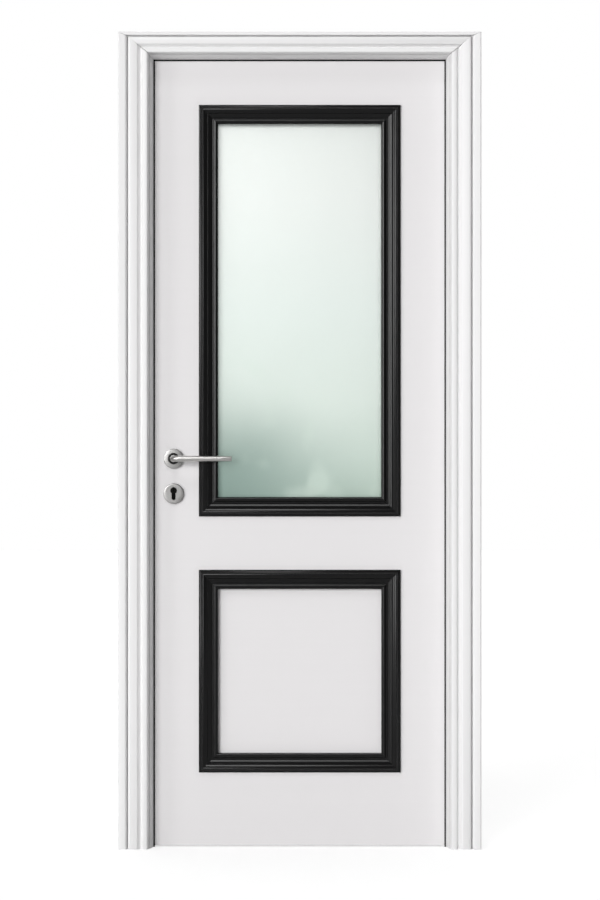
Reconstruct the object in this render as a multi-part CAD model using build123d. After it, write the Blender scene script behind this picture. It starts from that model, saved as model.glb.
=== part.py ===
from build123d import *
import os

# A hinged door leaf in its lining, with moulded casings: millimetres.
# X runs to the right seen from the front, Y runs away from the viewer, Z runs up from the floor.
# The origin is on the floor, on the leaf's centre line, at the middle of its thickness.
# The leaf opens away from the front. Its hinges are at the right, its lock at the left.

# Leaf
leaf_width = 800.0
leaf_height = 2100.0
leaf_thickness = 44.0
skin_thickness = 3.0
floor_gap = 4.0
edge_play = 3.0

# Lining, with the stop that the leaf closes against
wall_thickness = 80.0
lining_thickness = 25.0
stop_cover = 14.5
seal_space = 3.0
reveal_splay = 8.0
fixing_hole_radius = 3.5
fixing_spacing = 1300.0
fixing_centre = 1000.0

# Seal in the stop
seal_reach = 3.5
seal_nose = 1.0
seal_lip_clearance = 0.3
seal_stem_width = 2.8
seal_stem_depth = 5.5
seal_stem_inset = 4.5
groove_play = 0.1

# Front casing: a moulded board and a backband round it, narrower over the head
casing_margin = 1.0
casing_thickness = 20.0
casing_width = 58.0
backband_width = 24.5
head_casing_width = 47.5
head_backband_width = 10.7
casing_edge_height = 8.0
casing_quirk = (1.6, 12.5)
casing_bead_top = (9.5, 19.6)
casing_bead_end = (19.5, 15.0)
casing_cove_low = (25.5, 13.9)
casing_cove_end = 35.0
casing_roll_start = 49.0
casing_roll_middle = (54.6, 18.0)
casing_outer_height = 13.5
band_inner_height = 13.0
band_roll_middle = (2.4, 17.4)
band_roll_end = 6.3
band_round = 4.0

# Rear casing
rear_casing_margin = 7.0
rear_casing_width = 45.0
rear_casing_thickness = 15.0
rear_casing_ovolo = 6.0
rear_casing_round = 3.0
rear_relief_width = 2.0
rear_relief_depth = 1.5

# Glazed opening above, panelled opening below, both framed by mouldings
stile_margin = 132.0
bottom_margin = 194.0
middle_margin = 142.0
lower_moulding_height = 538.5
moulding_width = 51.0
moulding_cover = 43.0
moulding_play = 0.3
pane_thickness = 8.0
pane_play = 3.0
glazing_seal_thickness = 2.0
panel_thickness = 24.0
panel_play = 1.0

# Section of the mouldings: distance from the outer edge, height over the leaf's face
moulding_edge_height = 6.0
moulding_edge_end = (4.2, 6.6)
moulding_cove_middle = (7.6, 9.0)
moulding_cove_end = (9.8, 13.2)
moulding_crown_top = (11.6, 15.1)
moulding_crown_end = (14.0, 15.0)
moulding_slope_middle = (18.8, 13.3)
moulding_slope_end = (23.0, 10.4)
moulding_quirk = (24.2, 11.7)
moulding_fall_middle = (30.4, 9.3)
moulding_fall_end = (35.6, 5.6)
moulding_flat_end = 37.2
moulding_rise_middle = (39.3, 6.6)
moulding_bead_start = (40.6, 8.4)
moulding_bead_middle = (45.6, 9.3)
moulding_bead_end = (50.3, 5.9)
moulding_inner_edge = 5.0

# Lock
backset = 65.0
spindle_height = 1032.0
lock_spacing = 85.0
faceplate_thickness = 3.0
faceplate_width = 20.0
faceplate_height = 235.0
lock_case_thickness = 16.0
lock_case_depth = 108.0
lock_case_height = 190.0
lock_centre_drop = 45.0
slide_play = 0.3
latch_width = 11.0
latch_height = 20.0
latch_length = 56.0
latch_rise = 24.0
dead_bolt_width = 12.0
dead_bolt_height = 32.0
dead_bolt_length = 74.0
dead_bolt_rise = 34.0
dead_bolt_throw = 14.0
bolt_edge = 1.2

# Key cylinder
barrel_radius = 8.5
barrel_slot_width = 10.0
barrel_height = 33.0
barrel_recess = 1.0
plug_radius = 6.5
plug_play = 0.1
barrel_hole_play = 1.0
cam_radius = 15.0
cam_width = 10.0
cam_lug_width = 8.0
cam_play = 0.5
keyway_width = 2.6
keyway_height = 8.6
keyway_depth = 20.0

# Strike plate, with welded pockets, in the left leg of the lining
strike_thickness = 2.0
strike_width = 26.0
strike_end_margin = 22.0
strike_screw_inset = 10.0
pocket_wall = 1.5
pocket_play = 1.5
pocket_end_play = 3.0

# Lever handles and their roses
rose_diameter = 53.0
rose_thickness = 8.0
rose_chamfer = 1.2
rose_recess_radius = 13.5
rose_recess_depth = 2.0
escutcheon_diameter = 54.0
escutcheon_drop = 8.0
neck_radius = 9.0
neck_height = 14.0
neck_play = 0.3
grip_radius = 8.0
grip_tip_radius = 7.1
grip_projection = 52.0
grip_bend = 13.0
grip_length = 156.0
grip_tip_chamfer = 1.2
spindle_width = 8.0
spindle_play = 0.1
spindle_reach = 26.0
follower_radius = 10.0
spindle_bore_radius = 10.5

# Hinges
hinge_end_margin = 225.0
hinge_length = 100.0
hinge_plate_thickness = 2.5
hinge_plate_reach = 30.0
knuckle_radius = 6.5
knuckle_count = 5
knuckle_gap = 0.4
knuckle_stand_off = 7.0
pin_radius = 3.5
pin_clearance = 0.05
pin_head_radius = 5.2
pin_head_height = 4.0
pin_head_chamfer = 2.0

# Screws
screw_head_radius = 4.0
screw_head_depth = 2.4
screw_shank_radius = 2.0
screw_length = 26.0
screw_play = 0.1
screw_edge = 13.0
plate_screw_edge = 9.0

# Places that follow from the sizes above
leaf_half = leaf_width / 2
leaf_front = -leaf_thickness / 2
leaf_rear = leaf_thickness / 2
leaf_top = floor_gap + leaf_height
core_half = leaf_thickness / 2 - skin_thickness
rebate_x = leaf_half + edge_play
rebate_z = leaf_top + edge_play
stop_x = rebate_x - stop_cover
stop_z = rebate_z - stop_cover
stop_y = leaf_front - seal_space
lining_outer_x = rebate_x + lining_thickness
lining_outer_z = rebate_z + lining_thickness
wall_rear = leaf_rear
wall_front = wall_rear - wall_thickness
casing_inner_x = stop_x + reveal_splay + casing_margin
casing_inner_z = stop_z + reveal_splay + casing_margin
casing_outer_x = casing_inner_x + casing_width
casing_outer_z = casing_inner_z + head_casing_width
rear_casing_inner_x = rebate_x + rear_casing_margin
rear_casing_inner_z = rebate_z + rear_casing_margin
arc_share = 1 - 0.5 ** 0.5
moulding_half = leaf_half - stile_margin
lower_moulding_bottom = floor_gap + bottom_margin
lower_moulding_top = lower_moulding_bottom + lower_moulding_height
upper_moulding_bottom = lower_moulding_top + middle_margin
upper_moulding_top = leaf_top - stile_margin
aperture_half = moulding_half - moulding_cover
spindle_x = -leaf_half + backset
cylinder_height = spindle_height - lock_spacing
pocket_depth = dead_bolt_throw + pocket_end_play
lock_centre = spindle_height - lock_centre_drop
case_front_x = -leaf_half + faceplate_thickness
latch_height_centre = spindle_height + latch_rise
dead_bolt_centre = cylinder_height + dead_bolt_rise
hinge_axis_x = leaf_half + edge_play / 2
hinge_axis_y = leaf_rear + knuckle_stand_off
low_hinge = floor_gap + hinge_end_margin
high_hinge = leaf_top - hinge_end_margin
hinge_heights = (low_hinge, (low_hinge + high_hinge) / 2, high_hinge)

right = Vector(1, 0, 0)
left = Vector(-1, 0, 0)
rearward = Vector(0, 1, 0)
frontward = Vector(0, -1, 0)
up = Vector(0, 0, 1)
down = Vector(0, 0, -1)
far = 3000.0


# Helpers
def block(x_low, x_high, y_low, y_high, z_low, z_high):
    centre = Pos((x_low + x_high) / 2, (y_low + y_high) / 2, (z_low + z_high) / 2)
    return centre * Box(x_high - x_low, y_high - y_low, z_high - z_low)


def elevation_prism(points, y_low, y_high):
    face = make_face(Polyline(*points, close=True))
    return extrude(Plane.XZ.offset(-y_low) * face, amount=y_high - y_low, dir=(0, 1, 0))


def bar(section, start, across, outward, run, length):
    plane = Plane(origin=start, x_dir=across, z_dir=across.cross(outward))
    return extrude(plane * section, amount=length, dir=run)


def rod(radius, start, direction, length):
    lower_end = (Align.CENTER, Align.CENTER, Align.MIN)
    return Plane(origin=start, z_dir=direction) * Cylinder(radius, length, align=lower_end)


def mirrored_x(shape):
    return mirror(shape, about=Plane.YZ)


def mirrored_y(shape):
    return mirror(shape, about=Plane.XZ)


def write(shape, name):
    shape.label = name
    export_step(shape, "parts/" + name + ".step")


def screw(head_place, outward):
    top = (Align.CENTER, Align.CENTER, Align.MAX)
    head = Cone(screw_shank_radius, screw_head_radius, screw_head_depth, align=top)
    shank_length = screw_length - screw_head_depth
    shank = Pos(0, 0, -screw_head_depth) * Cylinder(screw_shank_radius, shank_length, align=top)
    return Plane(origin=head_place, z_dir=outward) * (head + shank)


def screw_hole(head_place, outward):
    top = (Align.CENTER, Align.CENTER, Align.MAX)
    low_radius = screw_shank_radius + screw_play
    high_radius = screw_head_radius + screw_play
    head = Cone(low_radius, high_radius, screw_head_depth, align=top)
    shank = Cylinder(low_radius, screw_length + screw_play, align=top)
    return Plane(origin=head_place, z_dir=outward) * (head + shank)


# Lining and planted stop: sections in plan, as distance from the centre line and distance to the front
def lining_section():
    points = [
        (rebate_x, -wall_front),
        (lining_outer_x, -wall_front),
        (lining_outer_x, -wall_rear),
        (rebate_x, -wall_rear),
    ]
    return make_face(Polyline(*points, close=True))


def stop_section():
    groove_inner = stop_x + seal_stem_inset
    groove_outer = groove_inner + seal_stem_width + 2 * groove_play
    groove_bottom = stop_y - seal_stem_depth - groove_play
    points = [
        (stop_x + reveal_splay, -wall_front),
        (rebate_x, -wall_front),
        (rebate_x, -stop_y),
        (groove_outer, -stop_y),
        (groove_outer, -groove_bottom),
        (groove_inner, -groove_bottom),
        (groove_inner, -stop_y),
        (stop_x, -stop_y),
    ]
    return make_face(Polyline(*points, close=True))


def seal_section():
    lip_face = leaf_front - seal_lip_clearance
    lip_tip = stop_x - seal_reach
    lip_heel = rebate_x - seal_stem_width
    stem_inner = stop_x + seal_stem_inset + groove_play
    stem_outer = stem_inner + seal_stem_width
    stem_bottom = stop_y - seal_stem_depth
    tip_middle = (lip_face + stop_y) / 2
    nose = ThreePointArc(
        (lip_tip + seal_nose, -stop_y),
        (lip_tip, -tip_middle),
        (lip_tip + seal_nose, -lip_face),
    )
    rest = Polyline(
        (lip_tip + seal_nose, -lip_face),
        (lip_heel, -lip_face),
        (lip_heel, -stop_y),
        (stem_outer, -stop_y),
        (stem_outer, -stem_bottom),
        (stem_inner, -stem_bottom),
        (stem_inner, -stop_y),
        (lip_tip + seal_nose, -stop_y),
    )
    return make_face(nose + rest)


def three_sides(section, inner_x, inner_z, outer_x, outer_z):
    # A leg and a head of one section, cut along the line through their two corners
    run = outer_x - inner_x
    rise = outer_z - inner_z
    low_x = inner_x - run
    low_z = inner_z - rise
    high_x = outer_x + run
    high_z = outer_z + rise
    leg_outline = [(low_x, 0), (high_x, 0), (high_x, high_z), (low_x, low_z)]
    head_outline = [(low_x, low_z), (high_x, high_z), (-high_x, high_z), (-low_x, low_z)]
    bar_leg = bar(section, (0, 0, outer_z), right, frontward, down, outer_z)
    bar_start = (-outer_x, 0, inner_z - inner_x)
    bar_head = bar(section, bar_start, up, frontward, right, 2 * outer_x)
    leg = bar_leg & elevation_prism(leg_outline, -leaf_width, leaf_width)
    head = bar_head & elevation_prism(head_outline, -leaf_width, leaf_width)
    return leg, head


def lining():
    return three_sides(lining_section(), rebate_x, rebate_z, lining_outer_x, lining_outer_z)


def planted_stop():
    return three_sides(stop_section(), stop_x, stop_z, rebate_x, rebate_z)


def frame_seal():
    heel = rebate_x - seal_stem_width
    tip = stop_x - seal_reach
    shift = stop_z - stop_x
    leg, head = three_sides(seal_section(), tip, tip + shift, heel, heel + shift)
    return Compound([leg, mirrored_x(leg), head])


# Front casing: section as distance from its inner edge and height over the wall
def squeezed(point, share):
    return (point[0] * share, point[1])


def casing_section(share):
    quirk = squeezed(casing_quirk, share)
    bead_end = squeezed(casing_bead_end, share)
    cove_end = (casing_cove_end * share, casing_thickness)
    roll_start = (casing_roll_start * share, casing_thickness)
    outer_edge = (casing_width * share, casing_outer_height)
    outline = [
        Polyline((0, 0), (0, casing_edge_height), quirk),
        ThreePointArc(quirk, squeezed(casing_bead_top, share), bead_end),
        ThreePointArc(bead_end, squeezed(casing_cove_low, share), cove_end),
        Line(cove_end, roll_start),
        ThreePointArc(roll_start, squeezed(casing_roll_middle, share), outer_edge),
        Polyline(outer_edge, (casing_width * share, 0), (0, 0)),
    ]
    return make_face(Curve() + outline)


def band_section(share):
    inner_edge = (0, band_inner_height)
    roll_end = (band_roll_end * share, casing_thickness)
    round_start = ((backband_width - band_round) * share, casing_thickness)
    round_drop = arc_share * band_round
    round_middle = ((backband_width - round_drop) * share, casing_thickness - round_drop)
    round_end = (backband_width * share, casing_thickness - band_round)
    outline = [
        Line((0, 0), inner_edge),
        ThreePointArc(inner_edge, squeezed(band_roll_middle, share), roll_end),
        Line(roll_end, round_start),
        ThreePointArc(round_start, round_middle, round_end),
        Polyline(round_end, (backband_width * share, 0), (0, 0)),
    ]
    return make_face(Curve() + outline)


def casing_pair(section_of, leg_width, head_width, inner_x, inner_z):
    # The head is narrower than the legs, so its section is squeezed and the mitre is not at 45 degrees
    outer_x = inner_x + leg_width
    outer_z = inner_z + head_width
    leg_start = (inner_x, wall_front, outer_z)
    leg_bar = bar(section_of(1.0), leg_start, right, frontward, down, outer_z)
    head_start = (-outer_x, wall_front, inner_z)
    share = head_width / leg_width
    head_bar = bar(section_of(share), head_start, up, frontward, right, 2 * outer_x)
    leg_outline = [(inner_x, 0), (outer_x, 0), (outer_x, outer_z), (inner_x, inner_z)]
    head_outline = [
        (-inner_x, inner_z),
        (inner_x, inner_z),
        (outer_x, outer_z),
        (-outer_x, outer_z),
    ]
    front = wall_front - casing_thickness
    leg = leg_bar & elevation_prism(leg_outline, front, wall_front)
    head = head_bar & elevation_prism(head_outline, front, wall_front)
    return leg, head


def rear_casing_section():
    front_height = rear_casing_thickness - rear_casing_ovolo
    ovolo_middle = arc_share * rear_casing_ovolo
    round_start = rear_casing_width - rear_casing_round
    round_drop = arc_share * rear_casing_round
    relief_start = lining_thickness - rear_casing_margin
    relief_end = relief_start + rear_relief_width
    lower = Polyline((0, 0), (0, front_height))
    ovolo = ThreePointArc(
        (0, front_height),
        (ovolo_middle, rear_casing_thickness - ovolo_middle),
        (rear_casing_ovolo, rear_casing_thickness),
    )
    flat = Polyline((rear_casing_ovolo, rear_casing_thickness), (round_start, rear_casing_thickness))
    corner = ThreePointArc(
        (round_start, rear_casing_thickness),
        (rear_casing_width - round_drop, rear_casing_thickness - round_drop),
        (rear_casing_width, rear_casing_thickness - rear_casing_round),
    )
    rest = Polyline(
        (rear_casing_width, rear_casing_thickness - rear_casing_round),
        (rear_casing_width, 0),
        (relief_end, 0),
        (relief_end, rear_relief_depth),
        (relief_start, rear_relief_depth),
        (relief_start, 0),
        (0, 0),
    )
    return make_face(lower + ovolo + flat + corner + rest)


def rear_casing_pair():
    inner_x = rear_casing_inner_x
    inner_z = rear_casing_inner_z
    outer_x = inner_x + rear_casing_width
    outer_z = inner_z + rear_casing_width
    section = rear_casing_section()
    leg_bar = bar(section, (inner_x, wall_rear, 0), right, rearward, up, outer_z)
    head_bar = bar(section, (-outer_x, wall_rear, inner_z), up, rearward, right, 2 * outer_x)
    leg_outline = [(inner_x, 0), (outer_x, 0), (outer_x, outer_z), (inner_x, inner_z)]
    head_outline = [
        (-inner_x, inner_z),
        (inner_x, inner_z),
        (outer_x, outer_z),
        (-outer_x, outer_z),
    ]
    rear = wall_rear + rear_casing_thickness
    leg = leg_bar & elevation_prism(leg_outline, wall_rear, rear)
    head = head_bar & elevation_prism(head_outline, wall_rear, rear)
    return leg, head


# Mouldings round the openings of the leaf
def moulding_section(tongue_depth):
    flat_end = (moulding_flat_end, moulding_fall_end[1])
    tongue_start = moulding_cover + moulding_play
    outline = [
        Polyline((0, 0), (0, moulding_edge_height), moulding_edge_end),
        ThreePointArc(moulding_edge_end, moulding_cove_middle, moulding_cove_end),
        ThreePointArc(moulding_cove_end, moulding_crown_top, moulding_crown_end),
        ThreePointArc(moulding_crown_end, moulding_slope_middle, moulding_slope_end),
        Line(moulding_slope_end, moulding_quirk),
        ThreePointArc(moulding_quirk, moulding_fall_middle, moulding_fall_end),
        Line(moulding_fall_end, flat_end),
        ThreePointArc(flat_end, moulding_rise_middle, moulding_bead_start),
        ThreePointArc(moulding_bead_start, moulding_bead_middle, moulding_bead_end),
        Polyline(
            moulding_bead_end,
            (moulding_width, moulding_inner_edge),
            (moulding_width, -tongue_depth),
            (tongue_start, -tongue_depth),
            (tongue_start, 0),
            (0, 0),
        ),
    ]
    return make_face(Curve() + outline)


def moulding_members(z_low, z_high, tongue_depth):
    # Four mitred members on the front face: left, right, bottom and top
    half = moulding_half
    sight = moulding_half - moulding_width
    low_sight = z_low + moulding_width
    high_sight = z_high - moulding_width
    section = moulding_section(tongue_depth)
    height = z_high - z_low
    plans = {
        "left": ((-half, leaf_front, z_low), right, up, height,
                 [(-half, z_low), (-sight, low_sight), (-sight, high_sight), (-half, z_high)]),
        "right": ((half, leaf_front, z_low), left, up, height,
                  [(half, z_low), (half, z_high), (sight, high_sight), (sight, low_sight)]),
        "bottom": ((-half, leaf_front, z_low), up, right, 2 * half,
                   [(-half, z_low), (half, z_low), (sight, low_sight), (-sight, low_sight)]),
        "top": ((-half, leaf_front, z_high), down, right, 2 * half,
                [(-half, z_high), (-sight, high_sight), (sight, high_sight), (half, z_high)]),
    }
    members = {}
    for place, (start, across, run, length, outline) in plans.items():
        member_bar = bar(section, start, across, frontward, run, length)
        members[place] = member_bar & elevation_prism(outline, -leaf_thickness, 0)
    return members


# Leaf core
def leaf_openings():
    lower = block(
        -aperture_half, aperture_half, -leaf_thickness, leaf_thickness,
        lower_moulding_bottom + moulding_cover, lower_moulding_top - moulding_cover,
    )
    upper = block(
        -aperture_half, aperture_half, -leaf_thickness, leaf_thickness,
        upper_moulding_bottom + moulding_cover, upper_moulding_top - moulding_cover,
    )
    return lower + upper


def barrel_outline(play):
    # The key cylinder's section: a round top over a narrow rounded foot
    radius = barrel_radius + play
    half_slot = barrel_slot_width / 2 + play
    foot_centre = barrel_height - barrel_radius - barrel_slot_width / 2
    round_top = Circle(radius)
    slot = Pos(0, -foot_centre / 2) * Rectangle(2 * half_slot, foot_centre)
    foot = Pos(0, -foot_centre) * Circle(half_slot)
    return round_top + slot + foot


def barrel_prism(play, y_low, y_high):
    plane = Plane(origin=(spindle_x, y_low, cylinder_height), x_dir=right, z_dir=frontward)
    return extrude(plane * barrel_outline(play), amount=y_high - y_low, dir=(0, 1, 0))


def handle_bores(y_low, y_high):
    spindle_start = (spindle_x, y_low, spindle_height)
    spindle_bore = rod(spindle_bore_radius, spindle_start, rearward, y_high - y_low)
    return spindle_bore + barrel_prism(barrel_hole_play, y_low, y_high)


def skin(y_low, y_high):
    plate = block(-leaf_half, leaf_half, y_low, y_high, floor_gap, leaf_top)
    return plate - leaf_openings() - handle_bores(y_low, y_high)


def hinge_screw_places(hinge_height, plate_face_x):
    reach_middle = leaf_rear - hinge_plate_reach / 2
    places = []
    for step in (-1, 0, 1):
        height = hinge_height + step * (hinge_length / 2 - screw_edge)
        places.append((plate_face_x, reach_middle, height))
    return places


def hinge_plate(hinge_height, plate_low_x):
    return block(
        plate_low_x, plate_low_x + hinge_plate_thickness, leaf_rear - hinge_plate_reach, leaf_rear,
        hinge_height - hinge_length / 2, hinge_height + hinge_length / 2,
    )


def hinge_stile():
    stile = block(aperture_half, leaf_half, -core_half, core_half, floor_gap, leaf_top)
    for height in hinge_heights:
        stile -= hinge_plate(height, leaf_half - hinge_plate_thickness)
        for place in hinge_screw_places(height, leaf_half):
            stile -= screw_hole(place, right)
    return stile


def rear_skin():
    plate = skin(core_half, leaf_rear)
    for height in hinge_heights:
        plate -= hinge_plate(height, leaf_half - hinge_plate_thickness)
    return plate


def lock_stile():
    stile = block(-leaf_half, -aperture_half, -core_half, core_half, floor_gap, leaf_top)
    half_thickness = lock_case_thickness / 2 + slide_play
    case_half_height = lock_case_height / 2 + slide_play
    stile -= block(
        case_front_x, case_front_x + lock_case_depth + slide_play, -half_thickness, half_thickness,
        lock_centre - case_half_height, lock_centre + case_half_height,
    )
    stile -= block(
        -leaf_half, case_front_x, -faceplate_width / 2, faceplate_width / 2,
        lock_centre - faceplate_height / 2, lock_centre + faceplate_height / 2,
    )
    for place in faceplate_screw_places():
        stile -= screw_hole(place, left)
    return stile - handle_bores(-core_half, core_half)


def rail(z_low, z_high):
    return block(-aperture_half, aperture_half, -core_half, core_half, z_low, z_high)


def pane():
    half = aperture_half - pane_play
    half_thickness = pane_thickness / 2
    z_low = upper_moulding_bottom + moulding_cover + pane_play
    z_high = upper_moulding_top - moulding_cover - pane_play
    return block(-half, half, -half_thickness, half_thickness, z_low, z_high)


def glazing_seal():
    outer = aperture_half - moulding_play
    inner = moulding_half - moulding_width
    y_high = -pane_thickness / 2
    y_low = y_high - glazing_seal_thickness
    z_edge = moulding_cover + moulding_play
    outside = block(
        -outer, outer, y_low, y_high,
        upper_moulding_bottom + z_edge, upper_moulding_top - z_edge,
    )
    inside = block(
        -inner, inner, y_low, y_high,
        upper_moulding_bottom + moulding_width, upper_moulding_top - moulding_width,
    )
    return outside - inside


def panel():
    half = aperture_half - panel_play
    half_thickness = panel_thickness / 2
    z_low = lower_moulding_bottom + moulding_cover + panel_play
    z_high = lower_moulding_top - moulding_cover - panel_play
    return block(-half, half, -half_thickness, half_thickness, z_low, z_high)


# Lock
def faceplate_screw_places():
    reach = faceplate_height / 2 - plate_screw_edge
    return [(-leaf_half, 0, lock_centre - reach), (-leaf_half, 0, lock_centre + reach)]


def bolt_channel(width, height, centre_height, length, play):
    return block(
        -leaf_half - 1, -leaf_half + length + play, -width / 2 - play, width / 2 + play,
        centre_height - height / 2 - play, centre_height + height / 2 + play,
    )


def latch_channel():
    return bolt_channel(latch_width, latch_height, latch_height_centre, latch_length, slide_play)


def dead_bolt_channel():
    return bolt_channel(
        dead_bolt_width, dead_bolt_height, dead_bolt_centre, dead_bolt_length, slide_play
    )


def faceplate():
    half = faceplate_height / 2
    plate = block(
        -leaf_half, case_front_x, -faceplate_width / 2, faceplate_width / 2,
        lock_centre - half, lock_centre + half,
    )
    for place in faceplate_screw_places():
        plate -= screw_hole(place, left)
    return plate - latch_channel() - dead_bolt_channel()


def lock_case():
    half_thickness = lock_case_thickness / 2
    half_height = lock_case_height / 2
    case = block(
        case_front_x, case_front_x + lock_case_depth, -half_thickness, half_thickness,
        lock_centre - half_height, lock_centre + half_height,
    )
    case -= latch_channel()
    case -= dead_bolt_channel()
    follower_start = (spindle_x, -half_thickness, spindle_height)
    case -= rod(follower_radius + slide_play, follower_start, rearward, lock_case_thickness)
    case -= barrel_prism(slide_play, -half_thickness, half_thickness)
    cam_space = cam_width / 2 + cam_play
    cam_start = (spindle_x, -cam_space, cylinder_height)
    case -= rod(cam_radius + cam_play, cam_start, rearward, 2 * cam_space)
    return case


def sliding_bolt(width, height, centre_height, length):
    bolt = block(
        -leaf_half, -leaf_half + length, -width / 2, width / 2,
        centre_height - height / 2, centre_height + height / 2,
    )
    nose_edges = bolt.faces().sort_by(Axis.X)[0].edges()
    return fillet(nose_edges, bolt_edge)


def lock_barrel():
    half_length = leaf_thickness / 2 + rose_thickness - barrel_recess
    cam_space = cam_width / 2 + cam_play / 2
    body = barrel_prism(0, -half_length, half_length)
    plug_start = (spindle_x, -half_length, cylinder_height)
    body -= rod(plug_radius + plug_play, plug_start, rearward, 2 * half_length)
    cam_bottom = cylinder_height - cam_radius - cam_play
    body -= block(
        spindle_x - far, spindle_x + far, -cam_space, cam_space,
        cam_bottom, cylinder_height + far,
    )
    return body


def lock_plug():
    half_length = leaf_thickness / 2 + rose_thickness - barrel_recess
    plug = rod(plug_radius, (spindle_x, -half_length, cylinder_height), rearward, 2 * half_length)
    half_cam = cam_width / 2
    plug += rod(barrel_radius, (spindle_x, -half_cam, cylinder_height), rearward, cam_width)
    lug = block(
        spindle_x - cam_lug_width / 2, spindle_x + cam_lug_width / 2, -half_cam, half_cam,
        cylinder_height - cam_radius, cylinder_height,
    )
    plug += lug & rod(cam_radius, (spindle_x, -half_cam, cylinder_height), rearward, cam_width)
    for y_low in (-half_length, half_length - keyway_depth):
        plug -= block(
            spindle_x - keyway_width / 2, spindle_x + keyway_width / 2,
            y_low, y_low + keyway_depth,
            cylinder_height - keyway_height / 2, cylinder_height + keyway_height / 2,
        )
    return plug


# Strike plate
def pocket(width, height, centre_height, grow):
    half_width = width / 2 + pocket_play + grow
    half_height = height / 2 + pocket_play + grow
    return block(
        -rebate_x - pocket_depth - grow, -rebate_x, -half_width, half_width,
        centre_height - half_height, centre_height + half_height,
    )


def strike_pockets(grow):
    latch_pocket = pocket(latch_width, latch_height, latch_height_centre, grow)
    bolt_pocket = pocket(dead_bolt_width, dead_bolt_height, dead_bolt_centre, grow)
    return latch_pocket + bolt_pocket


def strike_ends():
    low = dead_bolt_centre - dead_bolt_height / 2 - strike_end_margin
    high = latch_height_centre + latch_height / 2 + strike_end_margin
    return low, high


def strike_screw_places():
    low, high = strike_ends()
    return [
        (-rebate_x, 0, low + strike_screw_inset),
        (-rebate_x, 0, high - strike_screw_inset),
    ]


def strike_blank():
    low, high = strike_ends()
    half_width = strike_width / 2
    plate = block(-rebate_x - strike_thickness, -rebate_x, -half_width, half_width, low, high)
    return plate + strike_pockets(pocket_wall)


def strike_plate():
    plate = strike_blank() - strike_pockets(0)
    for place in strike_screw_places():
        plate -= screw_hole(place, right)
    return plate


# Handles
def rose(centre_height, diameter):
    start = (spindle_x, leaf_front - rose_thickness, centre_height)
    disc = rod(diameter / 2, start, rearward, rose_thickness)
    rim = disc.faces().sort_by(Axis.Y)[0].edges()
    return chamfer(rim, rose_chamfer)


def lever_rose():
    disc = rose(spindle_height, rose_diameter)
    face_y = leaf_front - rose_thickness
    face_centre = (spindle_x, face_y, spindle_height)
    disc -= rod(rose_recess_radius, face_centre, rearward, rose_recess_depth)
    return disc - rod(neck_radius + neck_play, face_centre, rearward, rose_thickness)


def key_rose():
    disc = rose(cylinder_height - escutcheon_drop, escutcheon_diameter)
    return disc - barrel_prism(slide_play, leaf_front - rose_thickness, leaf_front)


def lever():
    neck_start = leaf_front - neck_play
    grip_y = leaf_front - grip_projection
    neck = rod(neck_radius, (spindle_x, neck_start, spindle_height), frontward, neck_height)
    stem_start = Vector(spindle_x, neck_start - 1, spindle_height)
    bend_start = Vector(spindle_x, grip_y + grip_bend, spindle_height)
    grip_start = Vector(spindle_x + grip_bend, grip_y, spindle_height)
    straight = Line(stem_start, bend_start)
    bend = TangentArc(bend_start, grip_start, tangent=frontward)
    circle_plane = Plane(origin=stem_start, z_dir=frontward)
    stem = sweep(circle_plane * Circle(grip_radius), path=Wire([straight.edge(), bend.edge()]))
    taper_length = grip_length - grip_bend
    lower_end = (Align.CENTER, Align.CENTER, Align.MIN)
    grip_plane = Plane(origin=grip_start, z_dir=right)
    grip = grip_plane * Cone(grip_radius, grip_tip_radius, taper_length, align=lower_end)
    tip = grip.faces().sort_by(Axis.X)[-1].edges()
    grip = chamfer(tip, grip_tip_chamfer)
    handle = neck + stem + grip
    socket_half = spindle_width / 2 + spindle_play
    socket_end = neck_start - spindle_reach
    return handle - block(
        spindle_x - socket_half, spindle_x + socket_half, socket_end, neck_start + 1,
        spindle_height - socket_half, spindle_height + socket_half,
    )


def spindle():
    half = spindle_width / 2
    reach = -leaf_front + neck_play + spindle_reach - 1
    return block(
        spindle_x - half, spindle_x + half, -reach, reach,
        spindle_height - half, spindle_height + half,
    )


def follower():
    half_thickness = lock_case_thickness / 2 - slide_play
    hub_start = (spindle_x, -half_thickness, spindle_height)
    hub = rod(follower_radius, hub_start, rearward, 2 * half_thickness)
    hole = spindle_width / 2 + spindle_play
    return hub - block(
        spindle_x - hole, spindle_x + hole, -half_thickness, half_thickness,
        spindle_height - hole, spindle_height + hole,
    )


# Hinges: odd knuckles on the lining, even knuckles on the leaf
def hinge_half(hinge_height, plate_low_x, own_remainder):
    plate_high_x = plate_low_x + hinge_plate_thickness
    bottom = hinge_height - hinge_length / 2
    half = hinge_plate(hinge_height, plate_low_x)
    pitch = hinge_length / knuckle_count
    for index in range(knuckle_count):
        if index % 2 == own_remainder:
            z_low = bottom + index * pitch + knuckle_gap / 2
            z_high = z_low + pitch - knuckle_gap
            half += block(plate_low_x, plate_high_x, leaf_rear, hinge_axis_y, z_low, z_high)
            start = (hinge_axis_x, hinge_axis_y, z_low)
            half += rod(knuckle_radius, start, up, z_high - z_low)
    pin_start = (hinge_axis_x, hinge_axis_y, bottom - 1)
    return half - rod(pin_radius + pin_clearance, pin_start, up, hinge_length + 2)


def frame_hinge_half(hinge_height):
    half = hinge_half(hinge_height, rebate_x, 0)
    for place in hinge_screw_places(hinge_height, rebate_x):
        half -= screw_hole(place, left)
    return half


def leaf_hinge_half(hinge_height):
    half = hinge_half(hinge_height, leaf_half - hinge_plate_thickness, 1)
    for place in hinge_screw_places(hinge_height, leaf_half):
        half -= screw_hole(place, right)
    return half


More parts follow.
